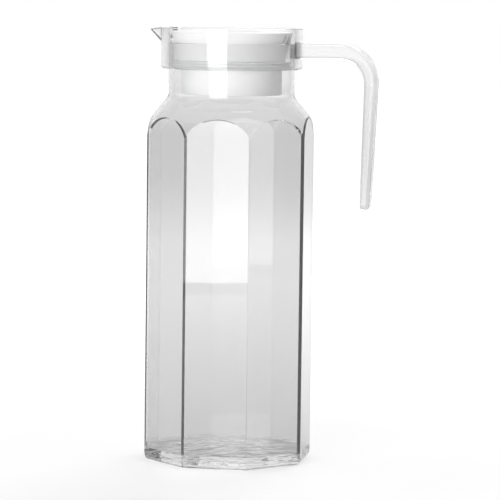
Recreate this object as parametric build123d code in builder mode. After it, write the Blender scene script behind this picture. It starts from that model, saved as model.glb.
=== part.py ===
from build123d import *
import os
from math import cos, pi, radians, sin

os.makedirs("parts", exist_ok=True)

# Clear octagonal water jug with a lift-out lid. Millimetres, Z up.
# The origin is the centre of the flat underside, on the axis of the neck.
# The handle points along +X and the pouring lip along -X.

# Octagonal shell
body_flats = 96.4          # outside, from one flat side to the opposite one
body_corner_r = 2.5        # rounding of the eight upright corners
wall = 3.0
inner_corner_r = 1.2
seam_z = 4.0               # the shell stands on the foot plate at this height

# Neck and shoulder
neck_r = 38.4
neck_wall = 2.8
neck_top_z = 255.0
neck_length = 30.5
neck_lip_round = 0.6
shoulder_drop = 29.5       # from the foot of the neck to full width
shoulder_beyond_corner = 0.33
shoulder_shape = [         # share of the way out and down, from neck to full width
    (0.092, 0.119),
    (0.362, 0.275),
    (0.539, 0.369),
    (0.695, 0.478),
    (0.830, 0.617),
    (0.936, 0.783),
]

# Foot plate
floor_above_seam = 3.5     # the plug of the plate rises this far inside the shell
weld_gap = 0.1             # all round, between the plug of the plate and the shell
foot_round = 3.4
foot_ring_width = 11.2     # flat ring round the shallow hollow under the plate
push_up_depth = 1.1
push_up_round = 0.8

# Clear collar round the neck
collar_wall = 4.55
collar_height = 24.9
collar_above_neck = 9.0
bond_gap = 0.05            # thin cement line between bonded clear pieces
collar_bottom_round = 1.9

# Pouring lip
lip_reach = 9.4            # from the collar to the sharp tip, before its rounding
lip_half_width = 14.5      # at the rim, where the lip leaves the collar
lip_root_depth = 3.4       # the lip is rooted this far inside the collar's wall
lip_height = 9.8           # from the rim to where the underside meets the collar
lip_foot_half_width = 4.5
lip_foot_reach = 0.4
lip_tip_round = 1.1
lip_wall = 1.9
lip_droop = 1.7            # drop of the tip below the rim
channel_above_neck = 1.4

# Handle
handle_thickness = 14.0    # measured round the jug
handle_edge_round = 2.2
bar_below_rim = 8.1
bar_depth = 10.1
bend_reach = 47.8          # from the collar to the outside of the bend
bend_depth = 8.7           # from the outside of the bend to its inside
leg_foot_reach = 43.2      # from the collar to the outside of the free end
leg_foot_depth = 6.2
leg_drop = 101.1           # from the top of the bar to the free end
bend_outer_r = 24.0
bend_inner_r = 14.0
leg_foot_r = 3.0
tenon_width = 10.0
tenon_depth = 3.4
tenon_height = 7.8
socket_gap = 0.05

# Lid: one smooth cone from its top edge down, then a straight skirt
lid_above_neck = 6.8
lid_edge_round = 0.9
cone_clearance = 0.25      # between the cone and the neck, at the mouth before its rounding
cone_taper = 3.95          # the cone narrows by this much below the mouth
cone_height = 15.0         # from the mouth down to the foot of the cone
skirt_step = 0.7
skirt_length = 16.6
lid_wall = 2.0
lid_plate = 1.8
well_r = 20.5              # two finger wells in the top
well_depth = 10.2
well_round = 0.8
grip_width = 5.0           # bar left between the wells
window_half_width = 9.0    # pouring window, opposite the handle
window_height = 5.0
strain_slots = 7
strain_slot_width = 2.2
strain_slot_pitch_deg = 7.5

# Sealing ring in a groove low on the cone of the lid
seal_depth = 5.1           # from the wall of the neck to the bottom of the groove
groove_above_cone_foot = 0.9
groove_height = 3.4
seal_clearance = 0.05
seal_lip_r = 0.8           # radius of each of the two rounded lips

# Places that follow from the sizes above
neck_bore_r = neck_r - neck_wall
neck_foot_z = neck_top_z - neck_length
floor_z = seam_z + floor_above_seam
push_up_r = body_flats / 2 - foot_ring_width
collar_bore_r = neck_r + bond_gap
collar_r = collar_bore_r + collar_wall
rim_z = neck_top_z + collar_above_neck
collar_z = rim_z - collar_height
lip_foot_z = rim_z - lip_height
lip_root_x = collar_r - lip_root_depth
lip_tip_x = collar_r + lip_reach
channel_floor_z = neck_top_z + channel_above_neck
bar_top_z = rim_z - bar_below_rim
bar_bottom_z = bar_top_z - bar_depth
bar_middle_z = (bar_top_z + bar_bottom_z) / 2
leg_foot_z = bar_top_z - leg_drop
lid_top_z = neck_top_z + lid_above_neck
cone_top_r = neck_bore_r - cone_clearance
cone_slope = cone_taper / cone_height
lid_edge_r = cone_top_r + cone_slope * lid_above_neck
cone_foot_r = cone_top_r - cone_taper
cone_foot_z = neck_top_z - cone_height
skirt_r = cone_foot_r - skirt_step
skirt_foot_z = cone_foot_z - skirt_length
well_floor_z = lid_top_z - well_depth
window_middle_z = neck_top_z + window_height / 2
groove_r = neck_bore_r - seal_depth
groove_foot_z = cone_foot_z + groove_above_cone_foot
groove_top_z = groove_foot_z + groove_height
lid_bore_r = groove_r - lid_plate
knee_z = groove_top_z + 2 * lid_plate
knee_r = cone_foot_r + cone_slope * (knee_z - cone_foot_z) - lid_wall
inner_top_r = lid_edge_r - cone_slope * lid_plate - lid_wall


def octagon_across(flats):
    """Radius to the corners of a regular octagon from its width across flats."""
    return flats / 2 / cos(radians(22.5))


def step_inward(points, distance):
    """Moves each radius and height pair square to the curve, towards the axis."""
    moved = []
    for i, (r, z) in enumerate(points):
        before = points[max(i - 1, 0)]
        after = points[min(i + 1, len(points) - 1)]
        along_r, along_z = after[0] - before[0], after[1] - before[1]
        length = (along_r**2 + along_z**2) ** 0.5
        moved.append((r + along_z / length * distance, z - along_r / length * distance))
    return moved


# Shell: an octagonal prism cut to a turned bottle form, so that each side ends in an arch
full_r = octagon_across(body_flats) + shoulder_beyond_corner
outer_curve = [(neck_r, neck_foot_z)]
outer_curve += [
    (neck_r + (full_r - neck_r) * out, neck_foot_z - shoulder_drop * down)
    for out, down in shoulder_shape
]
outer_curve += [(full_r, neck_foot_z - shoulder_drop)]
inner_curve = step_inward(outer_curve, wall)
inner_curve[0] = (neck_bore_r, neck_foot_z - 1.0)
inner_curve[-1] = (full_r - wall, neck_foot_z - shoulder_drop)


def turned_section(curve, top_z, foot_z):
    """Half section of a bottle, from its axis out to the wall."""
    with BuildSketch(Plane.XZ) as section:
        with BuildLine():
            Polyline((0, foot_z), (curve[-1][0], foot_z), curve[-1])
            Spline(*reversed(curve), tangents=((0, 1), (0, 1)))
            Polyline(curve[0], (curve[0][0], top_z), (0, top_z), (0, foot_z))
        make_face()
    return section.sketch


outer_section = turned_section(outer_curve, neck_top_z, seam_z)
inner_section = turned_section(inner_curve, neck_top_z + 1, seam_z - 1)

with BuildPart() as cavity:
    with BuildSketch(Plane.XY.offset(seam_z - 1)):
        RegularPolygon(octagon_across(body_flats - 2 * wall), 8, rotation=22.5)
    extrude(amount=neck_top_z - seam_z + 2)
    fillet(cavity.edges().filter_by(Axis.Z), inner_corner_r)
    revolve(inner_section, axis=Axis.Z, mode=Mode.INTERSECT)

with BuildPart() as jug_body:
    with BuildSketch(Plane.XY.offset(seam_z)):
        RegularPolygon(octagon_across(body_flats), 8, rotation=22.5)
    extrude(amount=neck_top_z - seam_z)
    fillet(jug_body.edges().filter_by(Axis.Z), body_corner_r)
    revolve(outer_section, axis=Axis.Z, mode=Mode.INTERSECT)
    add(cavity.part, mode=Mode.SUBTRACT)
    fillet(jug_body.faces().sort_by(Axis.Z)[-1].edges(), neck_lip_round)

# Foot plate: full outline below, a plug inside the shell above, a shallow hollow below
with BuildPart() as base_plate:
    with BuildSketch():
        RegularPolygon(octagon_across(body_flats), 8, rotation=22.5)
    extrude(amount=seam_z)
    fillet(base_plate.edges().filter_by(Axis.Z), body_corner_r)
    fillet(base_plate.faces().sort_by(Axis.Z)[0].edges(), foot_round)
    with BuildSketch(Plane.XY.offset(seam_z)):
        RegularPolygon(octagon_across(body_flats - 2 * wall - 2 * weld_gap), 8, rotation=22.5)
    extrude(amount=floor_above_seam)
    plug_corners = [
        e for e in base_plate.edges().filter_by(Axis.Z) if e.center().Z > seam_z
    ]
    fillet(plug_corners, inner_corner_r)
    with BuildSketch():
        Circle(push_up_r)
    extrude(amount=push_up_depth, mode=Mode.SUBTRACT)
    hollow_edge = base_plate.edges().filter_by(GeomType.CIRCLE).filter_by_position(
        Axis.Z, push_up_depth - 0.1, push_up_depth + 0.1
    )
    fillet(hollow_edge, push_up_round)


def lip_solid(inset, floor_z, top_z):
    """Loft from a small wedge low on the collar up to the wide V of the lip."""
    tip_inset = inset / sin(radians(50))
    foot_half_width = lip_foot_half_width - inset * 0.4
    with BuildPart() as form:
        with BuildSketch(Plane.XY.offset(floor_z)):
            with BuildLine():
                Polyline(
                    (-collar_r - lip_foot_reach + inset, 0),
                    (-lip_root_x + inset, foot_half_width),
                    (-lip_root_x + inset, -foot_half_width),
                    close=True,
                )
            make_face()
        with BuildSketch(Plane.XY.offset(top_z)):
            with BuildLine():
                Polyline(
                    (-lip_tip_x + tip_inset, 0),
                    (-lip_root_x + inset, lip_half_width - inset),
                    (-lip_root_x + inset, -lip_half_width + inset),
                    close=True,
                )
            make_face()
        loft(ruled=True)
        keel = form.edges().sort_by(lambda e: e.center().X)[0]
        fillet(keel, lip_tip_round if inset == 0 else lip_tip_round * 0.5)
    return form.part


lip_outside = lip_solid(0, lip_foot_z, rim_z)
lip_channel = lip_solid(lip_wall, channel_floor_z, rim_z + 0.01)

# Collar: turned ring, the pouring lip, its channel through the wall, and the handle socket
with BuildPart() as pour_collar:
    with BuildSketch(Plane.XY.offset(collar_z)):
        Circle(collar_r)
    extrude(amount=collar_height)
    fillet(pour_collar.faces().sort_by(Axis.Z)[0].edges(), collar_bottom_round)
    add(lip_outside)
    with BuildSketch(Plane.XY.offset(collar_z)):
        Circle(collar_bore_r)
    extrude(amount=collar_height, mode=Mode.SUBTRACT)
    add(lip_channel, mode=Mode.SUBTRACT)
    with BuildSketch(Plane.XZ):
        with BuildLine():
            Polyline(
                (-collar_r, rim_z),
                (-lip_tip_x - lip_reach, rim_z - 2 * lip_droop),
                (-lip_tip_x - lip_reach, rim_z + lip_height),
                (-collar_r, rim_z + lip_height),
                close=True,
            )
        make_face()
    extrude(amount=lip_half_width, both=True, mode=Mode.SUBTRACT)
    with Locations((collar_r - tenon_depth / 2, 0, bar_middle_z)):
        Box(
            tenon_depth + 2 * socket_gap,
            tenon_width + 2 * socket_gap,
            tenon_height + 2 * socket_gap,
            mode=Mode.SUBTRACT,
        )

# Handle: side outline given a thickness, rounded, hollowed to the collar, with a tenon
bar_root_x = collar_r - tenon_depth / 2
bend_outside = (collar_r + bend_reach, bar_top_z)
bend_inside = (collar_r + bend_reach - bend_depth, bar_bottom_z)
leg_foot_outside = (collar_r + leg_foot_reach, leg_foot_z)
leg_foot_inside = (collar_r + leg_foot_reach - leg_foot_depth, leg_foot_z)
handle_rounds = [
    (bend_outside, bend_outer_r),
    (bend_inside, bend_inner_r),
    (leg_foot_outside, leg_foot_r),
    (leg_foot_inside, leg_foot_r),
]

with BuildPart() as handle:
    with BuildSketch(Plane.XZ) as side:
        with BuildLine():
            Polyline(
                (bar_root_x, bar_bottom_z),
                (bar_root_x, bar_top_z),
                bend_outside,
                leg_foot_outside,
                leg_foot_inside,
                bend_inside,
                close=True,
            )
        make_face()
        for (x, z), radius in handle_rounds:
            corner = side.vertices().sort_by_distance((x, z, 0))[0]
            fillet(corner, radius)
    extrude(amount=handle_thickness / 2, both=True)
    long_edges = [
        e for e in handle.edges()
        if abs(abs(e.center().Y) - handle_thickness / 2) < 0.01
        and e.center().X > bar_root_x + 0.5
    ]
    fillet(long_edges, handle_edge_round)
    with BuildSketch(Plane.XY.offset(bar_bottom_z)):
        Circle(collar_r + bond_gap)
    extrude(amount=bar_depth, mode=Mode.SUBTRACT)
    with Locations((collar_r - tenon_depth, 0, bar_middle_z)):
        Box(
            2 * tenon_depth,
            tenon_width,
            tenon_height,
            align=(Align.MIN, Align.CENTER, Align.CENTER),
        )

# Lid: hollow stopper open below, with a cone in the mouth of the neck, a seal groove and a skirt
with BuildPart() as lid:
    with BuildSketch(Plane.XZ):
        with BuildLine():
            Polyline(
                (0, skirt_foot_z),
                (skirt_r, skirt_foot_z),
                (skirt_r, cone_foot_z),
                (cone_foot_r, cone_foot_z),
                (lid_edge_r, lid_top_z),
                (0, lid_top_z),
                close=True,
            )
        make_face()
    revolve(axis=Axis.Z)
    top_edge = lid.faces().sort_by(Axis.Z)[-1].edges()
    fillet(top_edge, lid_edge_round)
    with BuildSketch(Plane.XY.offset(groove_foot_z)):
        Circle(lid_edge_r)
        Circle(groove_r, mode=Mode.SUBTRACT)
    extrude(amount=groove_top_z - groove_foot_z, mode=Mode.SUBTRACT)
    with BuildSketch(Plane.XZ):
        with BuildLine():
            Polyline(
                (0, skirt_foot_z),
                (skirt_r - lid_wall, skirt_foot_z),
                (skirt_r - lid_wall, cone_foot_z),
                (lid_bore_r, groove_foot_z),
                (lid_bore_r, groove_top_z),
                (knee_r, knee_z),
                (inner_top_r, lid_top_z - lid_plate),
                (0, lid_top_z - lid_plate),
                close=True,
            )
        make_face()
    revolve(axis=Axis.Z, mode=Mode.SUBTRACT)

    # Walls of the finger wells, then the wells themselves, either side of the grip bar
    with BuildSketch(Plane.XY.offset(well_floor_z - lid_plate)):
        Circle(well_r + lid_wall)
    extrude(amount=lid_top_z - well_floor_z)
    with BuildSketch(Plane.XY.offset(well_floor_z)):
        Circle(well_r)
        Rectangle(2 * well_r, grip_width, mode=Mode.SUBTRACT)
    extrude(amount=lid_top_z - well_floor_z, mode=Mode.SUBTRACT)
    top_face = lid.faces().filter_by(Axis.Z).sort_by(Axis.Z)[-1]
    well_edges = [e for e in top_face.edges() if e.length < pi * lid_edge_r]
    fillet(well_edges, well_round)

    # Pouring window towards the lip, and straining slots towards the handle, above the neck
    cut_depth = 2 * (lid_edge_r - well_r - 2 * lid_wall)
    with Locations((-lid_edge_r, 0, window_middle_z)):
        Box(cut_depth, 2 * window_half_width, window_height, mode=Mode.SUBTRACT)
    for i in range(strain_slots):
        angle = (i - (strain_slots - 1) / 2) * strain_slot_pitch_deg
        with Locations(Location((0, 0, 0), (0, 0, angle))):
            with Locations((lid_edge_r, 0, window_middle_z)):
                Box(cut_depth, strain_slot_width, window_height, mode=Mode.SUBTRACT)

# Sealing ring: a band in the groove with two rounded lips against the neck
seal_foot_z = groove_foot_z + seal_clearance
seal_top_z = groove_top_z - seal_clearance
lip_centre_r = neck_bore_r - seal_clearance - seal_lip_r

with BuildPart() as lid_seal:
    with BuildSketch(Plane.XZ):
        with Locations(((groove_r + seal_clearance + lip_centre_r) / 2, (seal_foot_z + seal_top_z) / 2)):
            Rectangle(lip_centre_r - groove_r - seal_clearance, seal_top_z - seal_foot_z)
        for z in (seal_foot_z + seal_lip_r, seal_top_z - seal_lip_r):
            with Locations((lip_centre_r, z)):
                Circle(seal_lip_r)
    revolve(axis=Axis.Z)

pieces = {
    "jug_body": jug_body,
    "base_plate": base_plate,
    "pour_collar": pour_collar,
    "handle": handle,
    "lid": lid,
    "lid_seal": lid_seal,
}
for name, piece in pieces.items():
    piece.part.label = name
    export_step(piece.part, f"parts/{name}.step")
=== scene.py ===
# %% [markdown]
# # A clear octagonal water jug
# The jug is moulded from clear acrylic: an eight-sided shell cemented on a thick foot plate,
# a ring with a pouring lip round its neck, and a bent bar for a handle. A white stopper sits in the neck.
# The frame from the CAD part gives every place and size. Each piece is made again here
# with finer curves, because clear plastic shows each facet of a coarse mesh.

# %% Start
import bpy
import bmesh
from math import cos, sin, tan, pi, radians, atan2, sqrt
from mathutils import Matrix, Vector


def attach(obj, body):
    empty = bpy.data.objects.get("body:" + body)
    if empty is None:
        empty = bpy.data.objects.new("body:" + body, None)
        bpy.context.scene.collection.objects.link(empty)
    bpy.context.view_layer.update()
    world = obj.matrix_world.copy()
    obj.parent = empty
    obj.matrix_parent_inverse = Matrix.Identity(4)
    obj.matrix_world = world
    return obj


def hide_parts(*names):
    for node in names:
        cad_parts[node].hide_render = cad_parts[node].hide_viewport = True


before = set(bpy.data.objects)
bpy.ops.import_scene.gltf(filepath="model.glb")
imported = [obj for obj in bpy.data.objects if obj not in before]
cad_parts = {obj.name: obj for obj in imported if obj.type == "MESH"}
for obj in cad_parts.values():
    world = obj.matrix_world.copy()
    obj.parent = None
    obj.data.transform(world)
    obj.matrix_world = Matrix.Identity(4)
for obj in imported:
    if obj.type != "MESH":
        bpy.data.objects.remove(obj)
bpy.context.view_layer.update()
print("pieces in the frame:", sorted(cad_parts))

# %% [markdown]
# ## Sizes
# All sizes are in millimetres, as a maker would write them, and turn into metres in the mesh.
# Sizes that only one piece needs stand at the head of its own cell.

# %% Sizes that the pieces share
MM = 0.001
MERGE = 0.00001  # metres: points closer than this are one point
ON_PLANE = 1e-7  # metres: points closer than this to a cutting plane lie on it
HALF_SIDE = radians(22.5)  # half the angle that one side of the octagon takes up
BODY_FLATS = 96.4
CORNER_R = 2.5
WALL = 3.0
SEAM_Z = 4.0
FLOOR_Z = 7.5
NECK_R, NECK_BORE_R, NECK_TOP_Z, NECK_FOOT_Z = 38.4, 35.6, 255.0, 224.5
COLLAR_R, COLLAR_BORE_R, COLLAR_Z, RIM_Z = 43.0, 38.45, 239.1, 264.0
AZIMUTH = radians(9.3)  # of the camera, round the jug from its front
print("the jug is", BODY_FLATS, "mm across its flats and", RIM_Z, "mm high")

# %% [markdown]
# ## Turning a profile
# Glass, plastic and clay are often turned: one side of the section is drawn, then spun round the axis.
# bmesh.ops.spin does this with a few vertices and edges. The last step has to be merged with the first,
# and points on the axis fall on each other, so doubles are merged before the normals are put right.

# %% Helper: spin a profile round the upright axis
def turned(points, steps=160, closed=False):
    bm = bmesh.new()
    verts = [bm.verts.new((r * MM, 0, z * MM)) for r, z in points]
    pairs = list(zip(verts, verts[1:])) + ([(verts[-1], verts[0])] if closed else [])
    edges = [bm.edges.new(pair) for pair in pairs]
    bmesh.ops.spin(
        bm, geom=verts + edges, cent=(0, 0, 0), axis=(0, 0, 1), angle=2 * pi, steps=steps, use_merge=True)
    bmesh.ops.remove_doubles(bm, verts=bm.verts, dist=MERGE)
    bmesh.ops.recalc_face_normals(bm, faces=bm.faces)
    return bm


def rounded(points, radii, steps=6):
    """A profile whose corners are rounded: radii gives one radius for each point, 0 to keep it sharp."""
    out = []
    last = len(points) - 1
    for i, (point, radius) in enumerate(zip(points, radii)):
        p = Vector(point)
        if radius == 0 or i in (0, last):
            out.append(tuple(p))
            continue
        a = (Vector(points[i - 1]) - p).normalized()
        b = (Vector(points[i + 1]) - p).normalized()
        half_angle = a.angle(b) / 2
        reach = radius / tan(half_angle)
        centre = p + (a + b).normalized() * radius / sin(half_angle)
        start, end = p + a * reach - centre, p + b * reach - centre
        for k in range(steps + 1):
            # slerp gives a vector of length 1
            out.append(tuple(centre + start.slerp(end, k / steps) * radius))
    return out


# %% Helpers: choose, cut and join parts of a mesh
def everything(bm):
    return bm.verts[:] + bm.edges[:] + bm.faces[:]


def verts_of(geometry):
    return [g for g in geometry if isinstance(g, bmesh.types.BMVert)]


def edges_of(geometry):
    return [g for g in geometry if isinstance(g, bmesh.types.BMEdge)]


def open_edges(bm):
    return [e for e in bm.edges if e.is_boundary]


def slice_at(bm, place, normal, clear=False):
    """Cuts a mesh along a plane. With clear, the side that the normal points to goes."""
    return bmesh.ops.bisect_plane(
        bm, geom=everything(bm), plane_co=place, plane_no=normal, clear_outer=clear, dist=ON_PLANE)


def take_in(bm, other):
    """Adds another bmesh to this one, by way of a mesh that is removed again."""
    mesh = bpy.data.meshes.new("taken_in")
    other.to_mesh(mesh)
    other.free()
    bm.from_mesh(mesh)
    bpy.data.meshes.remove(mesh)


def round_off(bm, geometry, offset, segments, affect):
    """Bevels edges or corners with a round profile. The offset is in millimetres."""
    bmesh.ops.bevel(
        bm, geom=geometry, offset=offset * MM, offset_type="OFFSET", segments=segments, profile=0.5,
        affect=affect, clamp_overlap=affect == "EDGES", material=-1)


def carve(bm, cutter):
    """Takes the cutter away from a mesh with an exact boolean, and removes both helpers."""
    things = []
    for name, source in (("carved", bm), ("cutter", cutter)):
        mesh = bpy.data.meshes.new(name)
        source.to_mesh(mesh)
        source.free()
        thing = bpy.data.objects.new(name, mesh)
        bpy.context.scene.collection.objects.link(thing)
        things.append(thing)
    cut = things[0].modifiers.new("cut", "BOOLEAN")
    cut.operation, cut.solver, cut.object = "DIFFERENCE", "EXACT", things[1]
    shape = things[0].evaluated_get(bpy.context.evaluated_depsgraph_get())
    result = bmesh.new()
    result.from_mesh(shape.to_mesh())
    shape.to_mesh_clear()
    for thing in things:
        mesh = thing.data
        bpy.data.objects.remove(thing)
        bpy.data.meshes.remove(mesh)
    return result


def add_block(bm, low, high, turn=0.0):
    """A block between two corners in millimetres, turned about the upright axis."""
    low, high = Vector(low), Vector(high)
    size, middle = (high - low) * MM, (high + low) / 2 * MM
    place = Matrix.Rotation(turn, 4, "Z") @ Matrix.Translation(middle) @ Matrix.Diagonal((*size, 1))
    bmesh.ops.create_cube(bm, size=1.0, matrix=place)


# %% Helper: finish a mesh as a piece of the jug
def smooth_by_angle(mesh, degrees):
    """Curved parts are shaded smooth; an edge steeper than the angle stays crisp."""
    bm = bmesh.new()
    bm.from_mesh(mesh)
    for face in bm.faces:
        face.smooth = True
    for edge in bm.edges:
        edge.smooth = edge.is_manifold and edge.calc_face_angle(0) < radians(degrees)
    bm.to_mesh(mesh)
    bm.free()


def finish_piece(bm, name, body, node, degrees):
    print(name, "open edges left:", len(open_edges(bm)))
    mesh = bpy.data.meshes.new(name)
    bm.to_mesh(mesh)
    bm.free()
    piece = bpy.data.objects.new(name, mesh)
    bpy.context.scene.collection.objects.link(piece)
    smooth_by_angle(mesh, degrees)
    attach(piece, body)
    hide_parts(node)
    # Large flats keep their own direction up to their rounded edges
    weighted = piece.modifiers.new("weighted normals", "WEIGHTED_NORMAL")
    weighted.keep_sharp = True
    weighted.weight = 100
    print(name, len(mesh.polygons), "faces")
    return piece


# %% [markdown]
# ## The cemented foot
# Cement fills the gap between the shell and its foot plate, so light passes straight through the joint,
# and the two look like one thick base. The faces on both sides of that joint get a second material,
# which lets light through without bending it. The collar keeps a thin gap of air round the neck.

# %% Helpers: mark the cemented faces
CEMENT_SLOT = 1


def mark_cemented(bm, is_cemented):
    count = 0
    for face in bm.faces:
        if is_cemented(face):
            face.material_index = CEMENT_SLOT
            count += 1
    print("cemented faces:", count)


def lowest(face):
    return min(v.co.z for v in face.verts) / MM


def highest(face):
    return max(v.co.z for v in face.verts) / MM


# %% [markdown]
# ## The shell
# The real shell is a bottle form with eight flat sides, so each flat ends in an arch where it runs
# into the round shoulder. It is made the same way here: the bottle is turned, then eight flat planes
# cut it. bisect_plane leaves a clean arch, and one face fills each cut.

# %% Profile of the shoulder, smooth through its points
FULL_R = BODY_FLATS / 2 / cos(HALF_SIDE) + 0.33  # the round form stands a little past the corners
SHOULDER_DROP = 29.5
# Shares of the way out from the neck and of the way down
SHOULDER_SHAPE = [
    (0.092, 0.119), (0.362, 0.275), (0.539, 0.369), (0.695, 0.478), (0.830, 0.617), (0.936, 0.783)]
THICKENING_POINTS = 5  # over this many points the wall grows from the neck's to the shell's


def smooth_curve(points, start_tangent, end_tangent, per_span=5):
    """A cubic curve through points, with the tangent of each inner point taken from its neighbours."""
    p = [Vector(q) for q in points]
    tangents = [Vector(start_tangent) * (p[1] - p[0]).length]
    for i in range(1, len(p) - 1):
        tangents.append((p[i + 1] - p[i - 1]) / 2)
    tangents.append(Vector(end_tangent) * (p[-1] - p[-2]).length)
    out = []
    for i in range(len(p) - 1):
        for k in range(per_span):
            t = k / per_span
            h1, h2 = 2 * t**3 - 3 * t**2 + 1, t**3 - 2 * t**2 + t
            h3, h4 = -2 * t**3 + 3 * t**2, t**3 - t**2
            q = p[i] * h1 + tangents[i] * h2 + p[i + 1] * h3 + tangents[i + 1] * h4
            out.append((q.x, q.y))
    return out + [tuple(p[-1])]


shoulder = [(NECK_R, NECK_FOOT_Z)]
for out, down in SHOULDER_SHAPE:
    shoulder.append((NECK_R + (FULL_R - NECK_R) * out, NECK_FOOT_Z - SHOULDER_DROP * down))
shoulder.append((FULL_R, NECK_FOOT_Z - SHOULDER_DROP))
outer_curve = smooth_curve(shoulder, (0, -1), (0, -1))
inner_curve = []
last = len(outer_curve) - 1
for i, (r, z) in enumerate(outer_curve):
    before, after = Vector(outer_curve[max(i - 1, 0)]), Vector(outer_curve[min(i + 1, last)])
    along = (after - before).normalized()
    share = min(1, i / THICKENING_POINTS)
    thickness = (NECK_R - NECK_BORE_R) * (1 - share) + WALL * share
    inner_curve.append((r + along.y * thickness, z - along.x * thickness))
print("shoulder points:", len(outer_curve))

# %% Helper: a turned form pressed flat on eight sides
def pressed_bottle(curve, neck_line, flats, corner_r, foot_z):
    full_r, full_z = curve[-1]
    below = foot_z - 10
    profile = [(0, below), (full_r, below), (full_r, (foot_z + full_z) / 2)]
    profile += list(reversed(curve)) + neck_line
    bm = turned(profile)
    for k in range(8):
        normal = Vector((cos(k * pi / 4), sin(k * pi / 4), 0))
        cut = slice_at(bm, normal * flats / 2 * MM, normal, clear=True)
        bmesh.ops.contextual_create(bm, geom=edges_of(cut["geom_cut"]))
    slice_at(bm, (0, 0, foot_z * MM), (0, 0, -1), clear=True)
    corner_reach = flats / 2 / cos(HALF_SIDE) * MM
    upright = [
        e for e in bm.edges
        if all(abs(v.co.xy.length - corner_reach) < 0.05 * MM for v in e.verts)
        and abs((e.verts[0].co - e.verts[1].co).normalized().z) > 0.99]
    round_off(bm, upright, corner_r * tan(HALF_SIDE), 5, "EDGES")
    bmesh.ops.recalc_face_normals(bm, faces=bm.faces)
    return bm


# %% Outside and inside of the shell, joined at the lip and at the foot
INNER_CORNER_R = 1.2
LIP_R = 0.6  # of the rounded top of the neck


def neck_line(r, to_middle):
    """One side of the neck, ending in a rounded corner at its top."""
    return rounded([(r, 230), (r, NECK_TOP_Z), (r + to_middle, NECK_TOP_Z)], [0, LIP_R, 0])[:-1]


shell = pressed_bottle(outer_curve, neck_line(NECK_R, -1.2), BODY_FLATS, CORNER_R, SEAM_Z)
inside = pressed_bottle(
    inner_curve, neck_line(NECK_BORE_R, 1.2), BODY_FLATS - 2 * WALL, INNER_CORNER_R, SEAM_Z)
slice_at(inside, (0, 0, FLOOR_Z * MM), (0, 0, 1))
take_in(shell, inside)
loose_edges = open_edges(shell)
for above in (True, False):
    loops = [e for e in loose_edges if (e.verts[0].co.z > 0.2) == above]
    bmesh.ops.bridge_loops(shell, edges=loops)
bmesh.ops.recalc_face_normals(shell, faces=shell.faces)
mark_cemented(shell, lambda face: highest(face) < FLOOR_Z + 0.01)
jug_shell = finish_piece(shell, "jug_shell", "jug", "jug_body", 12)

# %% [markdown]
# ## The foot plate
# A thick octagonal plate closes the shell. Its lower edge is well rounded, and a shallow round hollow
# under it keeps it from rocking. A ring of edges is extruded and scaled again and again,
# like a stack of outlines: scaling an octagon about its centre moves all its sides in by the same amount.

# %% Helpers: a ring of edges with eight sides, and the next ring of the stack
def octagon_ring(flats, corner_r, z):
    bm = bmesh.new()
    bmesh.ops.create_circle(bm, segments=8, radius=flats / 2 / cos(HALF_SIDE) * MM)
    bmesh.ops.rotate(bm, verts=bm.verts, cent=(0, 0, 0), matrix=Matrix.Rotation(HALF_SIDE, 3, "Z"))
    round_off(bm, bm.verts[:], corner_r * tan(HALF_SIDE), 5, "VERTICES")
    bmesh.ops.translate(bm, verts=bm.verts, vec=(0, 0, z * MM))
    return bm


def stack_rings(bm, ring, half, steps):
    """Extrudes a ring of edges through steps of half width and height, and returns the last ring."""
    for new_half, z in steps:
        new = bmesh.ops.extrude_edge_only(bm, edges=ring)["geom"]
        scale = new_half / half
        for v in verts_of(new):
            v.co = (v.co.x * scale, v.co.y * scale, z * MM)
        ring, half = edges_of(new), new_half
    return ring


# %% Foot plate
FOOT_ROUND, FOOT_STEPS = 3.4, 8
BOND_GAP = 0.1  # left for the cement round the part of the plate that sits in the shell
HOLLOW_R, HOLLOW_DEPTH, HOLLOW_ROUND = 37.0, 1.1, 0.8

half = BODY_FLATS / 2
plate = octagon_ring(BODY_FLATS, CORNER_R, SEAM_Z)
plug_half = half - WALL - BOND_GAP
plug_top = stack_rings(plate, plate.edges[:], half, [(plug_half, SEAM_Z), (plug_half, FLOOR_Z)])
bmesh.ops.contextual_create(plate, geom=plug_top)
quarter_turn = [k / FOOT_STEPS * pi / 2 for k in range(FOOT_STEPS + 1)]
foot_line = [(half - FOOT_ROUND * (1 - cos(a)), FOOT_ROUND * (1 - sin(a))) for a in quarter_turn]
stack_rings(plate, open_edges(plate), half, foot_line)
hollow = [(HOLLOW_R, 0), (HOLLOW_R, HOLLOW_DEPTH), (0, HOLLOW_DEPTH)]
take_in(plate, turned(rounded(hollow, [0, HOLLOW_ROUND, 0]), steps=96))
bmesh.ops.bridge_loops(plate, edges=open_edges(plate))
bmesh.ops.remove_doubles(plate, verts=plate.verts, dist=MERGE)
bmesh.ops.recalc_face_normals(plate, faces=plate.faces)
mark_cemented(plate, lambda face: SEAM_Z - 0.01 < lowest(face) < FLOOR_Z - 0.1)
foot_plate = finish_piece(plate, "foot_plate", "jug", "base_plate", 25)

# %% [markdown]
# ## The collar and its lip
# The collar is a thick ring. Its pouring lip is a V that grows out of the wall near the rim.
# The ring is turned with many rows, then the rows near the rim are pulled out, as a potter pulls a lip:
# each point keeps its direction from the axis and moves out to the V, where the V is further out than the ring.

# %% Helpers: reach of the V
LIP_TIP, LIP_HALF_WIDTH, LIP_ROOT_X, LIP_HEIGHT, LIP_WALL, LIP_DROOP = 52.4, 14.5, 39.6, 9.8, 1.9, 1.7
# Reach of the tip and half width, each at the foot of the V and at the rim; root of the V; radius of its tip
OUTSIDE = (COLLAR_R + 0.4, LIP_TIP, 4.5, LIP_HALF_WIDTH, LIP_ROOT_X, 1.1)
CHANNEL = (41.5, LIP_TIP - 2.48, 3.74, LIP_HALF_WIDTH - LIP_WALL, LIP_ROOT_X - LIP_WALL, 0.55)


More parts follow.
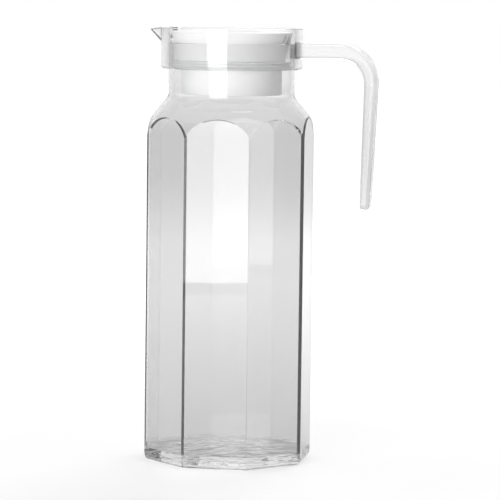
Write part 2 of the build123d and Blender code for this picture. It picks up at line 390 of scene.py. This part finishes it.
def v_reach(angle, tip, root_x, half_width, tip_round):
    """How far the V reaches in a direction, measured from the direction of its rounded tip."""
    a = abs(angle)
    h = atan2(half_width, tip - root_x)
    if a > pi / 2 - h:
        return 0.0
    centre = tip - tip_round / sin(h)
    if a < atan2(tip_round * cos(h), centre + tip_round * sin(h)):
        return centre * cos(a) + sqrt(tip_round ** 2 - (centre * sin(a)) ** 2)
    return tip * sin(h) / sin(h + a)


def lip_reach(angle, form, rise):
    """Reach of the outside or of the channel, at a share of the way up to the rim."""
    foot_tip, rim_tip, foot_width, rim_width, root_x, tip_round = form
    tip = foot_tip + (rim_tip - foot_tip) * rise
    return v_reach(angle, tip, root_x, foot_width + (rim_width - foot_width) * rise, tip_round)


# %% Ring of the collar, turned
COLLAR_ROWS, COLLAR_STEPS = 22, 360
COLLAR_FOOT_ROUND, RIM_INNER_ROUND, RIM_OUTER_ROUND = 1.9, 0.3, 0.5
ROWS_LOW, ROWS_HIGH = COLLAR_Z + COLLAR_FOOT_ROUND, RIM_Z - 0.8
MID_Z = 250  # any height between the foot and the rim

row_z = [ROWS_LOW + (ROWS_HIGH - ROWS_LOW) * k / COLLAR_ROWS for k in range(COLLAR_ROWS + 1)]
lower_line = [(COLLAR_R, MID_Z), (COLLAR_R, COLLAR_Z), (COLLAR_BORE_R, COLLAR_Z)]
rim_line = [(COLLAR_BORE_R, MID_Z), (COLLAR_BORE_R, RIM_Z), (COLLAR_R, RIM_Z), (COLLAR_R, MID_Z)]
section = rounded(lower_line, [0, COLLAR_FOOT_ROUND, 0])[1:]
section += [(COLLAR_BORE_R, z) for z in row_z]
section += rounded(rim_line, [0, RIM_INNER_ROUND, RIM_OUTER_ROUND, 0], 4)[1:-1]
section += [(COLLAR_R, z) for z in reversed(row_z[1:])]
collar = turned(section, steps=COLLAR_STEPS, closed=True)
print("section of the collar:", len(section), "points")

# %% Lip, pulled out of the ring
LIP_FOOT_Z = RIM_Z - LIP_HEIGHT
CHANNEL_Z = NECK_TOP_Z + 1.4
SETTLING_ROUNDS = 6  # the droop and the reach depend on each other, so they are worked out in turn

for v in collar.verts:
    x, y, z = v.co / MM
    r = sqrt(x * x + y * y)
    angle = atan2(y, -x)
    if r > (COLLAR_R + COLLAR_BORE_R) / 2:
        form, low, face_r = OUTSIDE, LIP_FOOT_Z, COLLAR_R
    else:
        form, low, face_r = CHANNEL, CHANNEL_Z, COLLAR_BORE_R
    new_r, new_z = r, z
    for _ in range(SETTLING_ROUNDS):
        rise = min(1, max(0, (new_z - low) / (RIM_Z - low)))
        if rise <= 0:
            break
        reach = lip_reach(angle, form, rise)
        new_r = reach - (face_r - r) if reach > face_r else r
        # The top of the lip droops, and a lower point of the V reaches less far
        share = max(0, new_r - COLLAR_R) / (LIP_TIP - COLLAR_R)
        new_z = z - LIP_DROOP * share * (z - low) / (RIM_Z - low)
    v.co = (x / r * new_r * MM, y / r * new_r * MM, new_z * MM)
bmesh.ops.recalc_face_normals(collar, faces=collar.faces)

# %% Socket for the handle
SOCKET_LOW, SOCKET_HIGH = (39.55, -5.05, 246.9), (46, 5.05, 254.8)
socket = bmesh.new()
add_block(socket, SOCKET_LOW, SOCKET_HIGH)
collar = carve(collar, socket)
clear_collar = finish_piece(collar, "clear_collar", "jug", "pour_collar", 25)

# %% [markdown]
# ## The handle
# The handle is one bent bar. Its side view is drawn with six corners, and the corners are rounded
# with a vertex bevel, then the outline gets its thickness and its long edges are softened for the hand.

# %% Handle
BAR_TOP, BAR_BOTTOM, BAR_HALF_WIDTH, BAR_EDGE_R = 255.9, 245.8, 7, 2.2
LEG_FOOT_Z = 154.8
ROOT_X, TENON_X = 42.0, 39.6
EDGES_FROM_X = 43.5  # the long edges stay sharp where the bar meets the collar
# Corners of the side view with their radii: root, outside of the bend, foot of the leg, inside of the bend
OUTLINE = [
    (ROOT_X, BAR_BOTTOM, 0), (ROOT_X, BAR_TOP, 0), (90.8, BAR_TOP, 24.0), (86.2, LEG_FOOT_Z, 3.0),
    (80.0, LEG_FOOT_Z, 3.0), (82.1, BAR_BOTTOM, 14.0)]

handle = bmesh.new()
places = [Vector((x * MM, -BAR_HALF_WIDTH * MM, z * MM)) for x, z, _ in OUTLINE]
handle.faces.new([handle.verts.new(place) for place in places])
for place, (_, _, radius) in zip(places, OUTLINE):
    if radius:
        corner = min(handle.verts, key=lambda v: (v.co - place).length)
        a, b = [(e.other_vert(corner).co - corner.co) for e in corner.link_edges]
        round_off(handle, [corner], radius / tan(a.angle(b) / 2), 28 if radius > 5 else 8, "VERTICES")
raised = bmesh.ops.extrude_face_region(handle, geom=handle.faces[:])["geom"]
bmesh.ops.translate(handle, verts=verts_of(raised), vec=(0, 2 * BAR_HALF_WIDTH * MM, 0))
bmesh.ops.recalc_face_normals(handle, faces=handle.faces)
long_edges = [
    e for e in handle.edges
    if abs(e.verts[0].co.y - e.verts[1].co.y) < 1e-6
    and (e.verts[0].co.x + e.verts[1].co.x) / 2 > EDGES_FROM_X * MM]
round_off(handle, long_edges, BAR_EDGE_R, 5, "EDGES")
print("long edges of the bar:", len(long_edges))

# %% Root of the handle: hollowed to the collar, with a square tenon in the middle
SADDLE_R = 43.05
SADDLE_CUTS = (-6, -5, -3.4, -1.7, 0, 1.7, 3.4, 5, 6)
TENON_HALF_WIDTH, TENON_LOW, TENON_HIGH = 5, 246.95, 254.75

for y in SADDLE_CUTS:
    slice_at(handle, (0, y * MM, 0), (0, 1, 0))
for z in (TENON_LOW, TENON_HIGH):
    slice_at(handle, (0, 0, z * MM), (0, 0, 1))
tenon = []
for face in handle.faces:
    x, y, z = face.calc_center_median() / MM
    if face.normal.x < -0.9 and x < ROOT_X + 0.1 and abs(y) < TENON_HALF_WIDTH and TENON_LOW < z < TENON_HIGH:
        tenon.append(face)
raised = bmesh.ops.extrude_face_region(handle, geom=tenon)["geom"]
for v in handle.verts:
    if v.co.x < (ROOT_X + 0.1) * MM:
        v.co.x = sqrt((SADDLE_R * MM) ** 2 - v.co.y ** 2)
for v in verts_of(raised):
    v.co.x = TENON_X * MM
bar_handle = finish_piece(handle, "bar_handle", "jug", "handle", 25)

# %% [markdown]
# ## The stopper and its ring
# The stopper is one hollow moulding, turned from its section: a skirt, a groove for the ring,
# and one smooth cone up to the top edge. A boolean then cuts its two finger wells, its pouring window
# and the slots that hold back ice.

# %% Stopper, turned
LID_TOP = 261.8
# Radius, height and rounding of each corner of the section
LID_SECTION = [
    (28.7, 223.4, 0), (30.7, 223.4, 0.5), (30.7, 240.0, 0), (31.4, 240.0, 0.2),  # skirt
    (31.64, 240.9, 0.15), (30.5, 240.9, 0), (30.5, 244.3, 0), (32.53, 244.3, 0.2),  # groove for the ring
    (37.14, LID_TOP, 0.9), (0, LID_TOP, 0),  # top of the cone
    (0, 249.8, 0), (22.5, 249.8, 0.4), (22.5, 260.0, 0.4), (34.67, 260.0, 0.5),  # underside of wells and top
    (31.48, 247.9, 0.5), (28.7, 244.3, 0)]  # inside of the cone
lid_points, lid_radii = [(r, z) for r, z, _ in LID_SECTION], [radius for _, _, radius in LID_SECTION]
stopper = turned(rounded(lid_points, lid_radii, 4), steps=180, closed=True)
print("stopper turned:", len(stopper.faces), "faces")

# %% Wells, window and slots
WELL_FLOOR, WELL_R, GRIP_HALF, WELL_EDGE_R = 251.6, 20.5, 2.5, 0.8
WINDOW_HALF_WIDTH, OPENING_LOW, OPENING_HIGH = 9, 255, 259.9
SLOTS, SLOT_HALF_WIDTH, SLOT_PITCH = 7, 1.1, 7.5  # the pitch is in degrees
CUT_FROM_R, CUT_TO_R = 25, 45  # the cuts reach from inside the cone's wall to past it

cutters = bmesh.new()
bmesh.ops.create_circle(cutters, cap_ends=True, segments=120, radius=WELL_R * MM)
bmesh.ops.translate(cutters, verts=cutters.verts, vec=(0, 0, WELL_FLOOR * MM))
slice_at(cutters, (0, GRIP_HALF * MM, 0), (0, -1, 0), clear=True)
raised = bmesh.ops.extrude_face_region(cutters, geom=cutters.faces[:])["geom"]
bmesh.ops.translate(cutters, verts=verts_of(raised), vec=(0, 0, 15 * MM))
bmesh.ops.mirror(cutters, geom=everything(cutters), axis="Y", merge_dist=0)
add_block(
    cutters, (-CUT_TO_R, -WINDOW_HALF_WIDTH, OPENING_LOW), (-CUT_FROM_R, WINDOW_HALF_WIDTH, OPENING_HIGH))
for k in range(SLOTS):
    turn = radians((k - SLOTS // 2) * SLOT_PITCH)
    add_block(
        cutters, (CUT_FROM_R, -SLOT_HALF_WIDTH, OPENING_LOW), (CUT_TO_R, SLOT_HALF_WIDTH, OPENING_HIGH), turn)
bmesh.ops.recalc_face_normals(cutters, faces=cutters.faces)
stopper = carve(stopper, cutters)
well_edges = [
    e for e in stopper.edges
    if all(abs(v.co.z / MM - LID_TOP) < 0.01 and v.co.xy.length / MM < WELL_R + 0.1 for v in e.verts)
    and e.is_manifold and e.calc_face_angle(0) > 1]
round_off(stopper, well_edges, WELL_EDGE_R, 4, "EDGES")
print("edges of the wells:", len(well_edges))
stopper_piece = finish_piece(stopper, "stopper", "stopper", "lid", 30)

# %% Sealing ring, turned: two round beads with a notch between them
RING_R, RING_BORE_R, RING_LOW, RING_HIGH, NOTCH_R = 35.55, 30.55, 240.95, 244.25, 34.7
ring_points = [
    (RING_BORE_R, RING_LOW), (RING_R, RING_LOW), (RING_R, 242.55), (NOTCH_R, 242.6), (RING_R, 242.65),
    (RING_R, RING_HIGH), (RING_BORE_R, RING_HIGH)]
ring_section = rounded(ring_points, [0, 0.75, 0.6, 0, 0.6, 0.75, 0], 4)
seal_ring = finish_piece(
    turned(ring_section, closed=True), "seal_ring", "sealing_ring", "lid_seal", 30)

# %% [markdown]
# ## Materials
# Clear acrylic bends light a little less than glass. Moulding leaves faint waves in it, which a weak bump
# with a large pattern gives. Lamps shine through it, so its shadow is pale. A small part of the light
# scatters in it, and that keeps light which is caught inside a wall from ending in black lines.

# %% Helpers for node materials
def new_material(name):
    material = bpy.data.materials.new(name)
    material.use_nodes = True
    nodes = material.node_tree.nodes
    return material, nodes, material.node_tree.links, nodes["Principled BSDF"], nodes["Material Output"]


def map_range(nodes, links, value, **limits):
    """A Map Range node: from_min, from_max, to_min and to_max are given by name."""
    node = nodes.new("ShaderNodeMapRange")
    for name, limit in limits.items():
        node.inputs[name.replace("_", " ").title()].default_value = limit
    links.new(value, node.inputs["Value"])
    return node


def add_bump(nodes, links, height, strength, depth, shader):
    bump = nodes.new("ShaderNodeBump")
    bump.inputs["Strength"].default_value = strength
    bump.inputs["Distance"].default_value = depth
    links.new(height, bump.inputs["Height"])
    links.new(bump.outputs["Normal"], shader.inputs["Normal"])


def add_noise(nodes, links, scale, detail):
    """A noise pattern that keeps its place on the piece."""
    place = nodes.new("ShaderNodeTexCoord")
    noise = nodes.new("ShaderNodeTexNoise")
    noise.inputs["Scale"].default_value = scale
    noise.inputs["Detail"].default_value = detail
    links.new(place.outputs["Object"], noise.inputs["Vector"])
    return place, noise.outputs["Fac"]


# %% Clear acrylic
SHOULDER_LOW, SHOULDER_HIGH = 0.200, 0.235  # metres: the looks of the body and of the neck blend between these
NECK_SHADE = 0.97


def clear_acrylic(name, tint, upper_tint, wave_scale, wave, shade=NECK_SHADE):
    """tint colours the light that passes, and shade is the part of a lamp's light that each surface lets by."""
    material, nodes, links, shader, output = new_material(name)
    shader.inputs["Transmission Weight"].default_value = 0.965
    shader.inputs["IOR"].default_value = 1.49
    place, waves = add_noise(nodes, links, wave_scale, 1.5)
    split = nodes.new("ShaderNodeSeparateXYZ")
    links.new(place.outputs["Object"], split.inputs["Vector"])
    # Below the shoulder the plastic is a little greyer and casts more shadow than at the neck
    height = {"value": split.outputs["Z"], "from_min": SHOULDER_LOW, "from_max": SHOULDER_HIGH}
    grey = map_range(nodes, links, **height, to_min=tint, to_max=upper_tint)
    shadow = map_range(nodes, links, **height, to_min=shade, to_max=NECK_SHADE)
    links.new(grey.outputs["Result"], shader.inputs["Base Color"])
    haze = map_range(nodes, links, waves, to_min=0.0, to_max=0.035)
    links.new(haze.outputs["Result"], shader.inputs["Roughness"])
    add_bump(nodes, links, waves, 0.35, wave, shader)
    path = nodes.new("ShaderNodeLightPath")
    see_through = nodes.new("ShaderNodeBsdfTransparent")
    links.new(shadow.outputs["Result"], see_through.inputs["Color"])
    mix = nodes.new("ShaderNodeMixShader")
    links.new(path.outputs["Is Shadow Ray"], mix.inputs["Fac"])
    links.new(shader.outputs["BSDF"], mix.inputs[1])
    links.new(see_through.outputs["BSDF"], mix.inputs[2])
    links.new(mix.outputs["Shader"], output.inputs["Surface"])
    return material


for piece, look in (
        (jug_shell, clear_acrylic("clear acrylic", 0.80, 0.95, 28.0, 0.00006, 0.80)),
        (clear_collar, clear_acrylic("clear acrylic of the collar", 0.93, 0.93, 20.0, 0.00004)),
        (bar_handle, clear_acrylic("clear acrylic of the handle", 0.70, 0.74, 24.0, 0.00006, 0.9)),
        (foot_plate, clear_acrylic("rippled acrylic", 0.86, 0.86, 95.0, 0.005, 0.6))):
    piece.data.materials.append(look)
    print(piece.name, "gets", look.name)

# %% Cement in the joint at the foot
cement, nodes, links, shader, output = new_material("cement line")
nodes.remove(shader)
_, specks = add_noise(nodes, links, 240.0, 2.0)
tint = map_range(nodes, links, specks, to_min=0.97, to_max=1.0)
passing = nodes.new("ShaderNodeBsdfTransparent")
links.new(tint.outputs["Result"], passing.inputs["Color"])
links.new(passing.outputs["BSDF"], output.inputs["Surface"])
for piece in (jug_shell, foot_plate):
    piece.data.materials.append(cement)
    print(piece.name, "has", len(piece.data.materials), "materials")

# %% White plastic and silicone
def satin_plastic(name, colour, rough, grain_scale, depth):
    material, nodes, links, shader, _ = new_material(name)
    _, grain = add_noise(nodes, links, grain_scale, 4.0)
    tint = nodes.new("ShaderNodeMix")
    tint.data_type = "RGBA"
    tint.inputs["A"].default_value = tuple(c * 0.97 for c in colour) + (1,)
    tint.inputs["B"].default_value = tuple(colour) + (1,)
    links.new(grain, tint.inputs["Factor"])
    links.new(tint.outputs["Result"], shader.inputs["Base Color"])
    shine = map_range(nodes, links, grain, to_min=rough - 0.06, to_max=rough + 0.06)
    links.new(shine.outputs["Result"], shader.inputs["Roughness"])
    add_bump(nodes, links, grain, 0.25, depth, shader)
    return material


for piece, look in (
        (stopper_piece, satin_plastic("white moulded plastic", (0.92, 0.92, 0.925), 0.38, 900.0, 0.00004)),
        (seal_ring, satin_plastic("milky silicone", (0.74, 0.75, 0.75), 0.5, 600.0, 0.00003))):
    piece.data.materials.append(look)
    print(piece.name, "gets", look.name)

# %% [markdown]
# ## Studio
# A pale floor runs out of sight, and the room is white wherever the camera looks. Clear plastic shows
# what stands behind it, so the room gets greyer away from the backdrop, and that draws the flats of the jug.

# %% Helpers for light levels
def backdrop_level(nodes, links, direction, low, high):
    """From low to high as a direction turns to the backdrop behind the jug."""
    unit = nodes.new("ShaderNodeVectorMath")
    unit.operation = "NORMALIZE"
    links.new(direction, unit.inputs[0])
    facing = nodes.new("ShaderNodeVectorMath")
    facing.operation = "DOT_PRODUCT"
    links.new(unit.outputs["Vector"], facing.inputs[0])
    facing.inputs[1].default_value = (-sin(AZIMUTH), cos(AZIMUTH), 0)
    fall = map_range(
        nodes, links, facing.outputs["Value"], from_min=0.55, from_max=0.985, to_min=low, to_max=high)
    fall.interpolation_type = "SMOOTHSTEP"
    return fall.outputs["Result"]


def level_for_ray(nodes, links, bent_level, other_level):
    """1 for what the camera sees straight, one level for rays that the plastic bent, one for the rest."""
    path = nodes.new("ShaderNodeLightPath")
    bent = nodes.new("ShaderNodeMath")
    bent.operation = "MAXIMUM"
    links.new(path.outputs["Is Glossy Ray"], bent.inputs[0])
    links.new(path.outputs["Is Transmission Ray"], bent.inputs[1])
    first = nodes.new("ShaderNodeMix")
    first.data_type = "FLOAT"
    first.inputs["A"].default_value = other_level
    links.new(bent.outputs[0], first.inputs["Factor"])
    links.new(bent_level, first.inputs["B"])
    second = nodes.new("ShaderNodeMix")
    second.data_type = "FLOAT"
    links.new(path.outputs["Is Camera Ray"], second.inputs["Factor"])
    links.new(first.outputs["Result"], second.inputs["A"])
    second.inputs["B"].default_value = 1.0
    return second.outputs["Result"]


# %% Floor
FLOOR_HALF = 6.0  # metres

floor_bm = bmesh.new()
bmesh.ops.create_grid(floor_bm, x_segments=1, y_segments=1, size=FLOOR_HALF)
floor_mesh = bpy.data.meshes.new("floor")
floor_bm.to_mesh(floor_mesh)
floor_bm.free()
floor = bpy.data.objects.new("floor", floor_mesh)
bpy.context.scene.collection.objects.link(floor)
print("floor:", 2 * FLOOR_HALF, "m wide")

# %% Material of the floor: matte, with a glow that grows away from the jug
floor_material, nodes, links, shader, output = new_material("pale floor")
nodes.remove(shader)
matte = nodes.new("ShaderNodeBsdfDiffuse")
matte.inputs["Color"].default_value = (0.62, 0.62, 0.62, 1)
glow = nodes.new("ShaderNodeEmission")
place = nodes.new("ShaderNodeTexCoord")
behind = backdrop_level(nodes, links, place.outputs["Object"], 0.34, 0.74)
away = nodes.new("ShaderNodeVectorMath")
away.operation = "LENGTH"
links.new(place.outputs["Object"], away.inputs[0])
# The lamps light the floor near the jug, so it needs less glow there than far off
near_to_far = map_range(
    nodes, links, away.outputs["Value"], from_min=0.15, from_max=1.5, to_min=0.27, to_max=0.76)
level = nodes.new("ShaderNodeMath")
level.operation = "MULTIPLY"
links.new(near_to_far.outputs["Result"], level.inputs[0])
links.new(level_for_ray(nodes, links, behind, 0.0), level.inputs[1])
links.new(level.outputs[0], glow.inputs["Strength"])
both = nodes.new("ShaderNodeAddShader")
links.new(matte.outputs["BSDF"], both.inputs[0])
links.new(glow.outputs["Emission"], both.inputs[1])
links.new(both.outputs["Shader"], output.inputs["Surface"])
floor.data.materials.append(floor_material)
print("nodes of the floor's material:", len(nodes))

# %% World
world = bpy.data.worlds.new("studio")
bpy.context.scene.world = world
world.use_nodes = True
nodes, links = world.node_tree.nodes, world.node_tree.links
background = nodes["Background"]
background.inputs["Color"].default_value = (1, 1, 1, 1)
place = nodes.new("ShaderNodeTexCoord")
behind = backdrop_level(nodes, links, place.outputs["Generated"], 0.5, 1.0)
links.new(level_for_ray(nodes, links, behind, 0.6), background.inputs["Strength"])
print("nodes of the world:", len(nodes))

# %% [markdown]
# ## Lamps
# One tall soft lamp at the front left makes the upright highlight on the round parts. A second one,
# high behind the jug, lights the floor and lays a soft shadow in front of the foot.

# %% Lamps
def soft_lamp(name, azimuth, height, aim_height, distance, width, tall, watts):
    """A rectangular soft lamp, round the jug by its azimuth, turned to a point on the jug's axis."""
    data = bpy.data.lights.new(name, "AREA")
    data.shape = "RECTANGLE"
    data.size, data.size_y, data.energy = width, tall, watts
    lamp = bpy.data.objects.new(name, data)
    a = radians(azimuth)
    lamp.location = (sin(a) * distance, -cos(a) * distance, height)
    aim = Vector((0, 0, aim_height)) - lamp.location
    lamp.rotation_euler = aim.to_track_quat("-Z", "Y").to_euler()
    bpy.context.scene.collection.objects.link(lamp)
    print(name, watts, "W")


soft_lamp("front left soft lamp", -15, 0.5, 0.46, 1.0, 0.6, 0.98, 6)
soft_lamp("high back lamp", 170, 1.4, 0.15, 1.2, 0.9, 0.6, 20)

# %% [markdown]
# ## Camera
# A long lens from about two metres away, a little above the rim, turned nine degrees towards the handle.
# Clear walls send light to and fro many times, so more bounces are allowed than usual.

# %% Camera
ROLL = radians(0.7)
FOCAL_PIXELS, PICTURE_PIXELS, SENSOR = 3000.0, 500.0, 36.0
PIXEL = 0.6095  # millimetres that one pixel spans at the jug
AIM_HEIGHT, EYE_HEIGHT, AIM_RIGHT = 128.44, 299.0, 12.4
BOUNCES = 48

distance = FOCAL_PIXELS * PIXEL
elevation = atan2(EYE_HEIGHT - AIM_HEIGHT, distance)
right = Vector((cos(AZIMUTH), sin(AZIMUTH), 0))
back = Vector((sin(AZIMUTH) * cos(elevation), -cos(AZIMUTH) * cos(elevation), sin(elevation)))
up = back.cross(right)
turned_right = right * cos(ROLL) + up * sin(ROLL)
turned_up = up * cos(ROLL) - right * sin(ROLL)
place = (right * AIM_RIGHT + Vector((0, 0, AIM_HEIGHT)) + back * distance / cos(elevation)) * MM
camera_data = bpy.data.cameras.new("camera")
camera_data.sensor_width = SENSOR
camera_data.lens = FOCAL_PIXELS * SENSOR / PICTURE_PIXELS
camera_data.clip_start, camera_data.clip_end = 0.05, 50.0
camera = bpy.data.objects.new("camera", camera_data)
rotation = Matrix((turned_right, turned_up, back)).transposed().to_4x4()
camera.matrix_world = Matrix.Translation(place) @ rotation
bpy.context.scene.collection.objects.link(camera)
bpy.context.scene.camera = camera
bpy.context.scene.view_settings.view_transform = "Standard"
for kind in ("max_bounces", "transmission_bounces", "transparent_max_bounces"):
    setattr(bpy.context.scene.cycles, kind, BOUNCES)
print("camera", round(camera_data.lens, 1), "mm lens at", tuple(round(c, 3) for c in place))
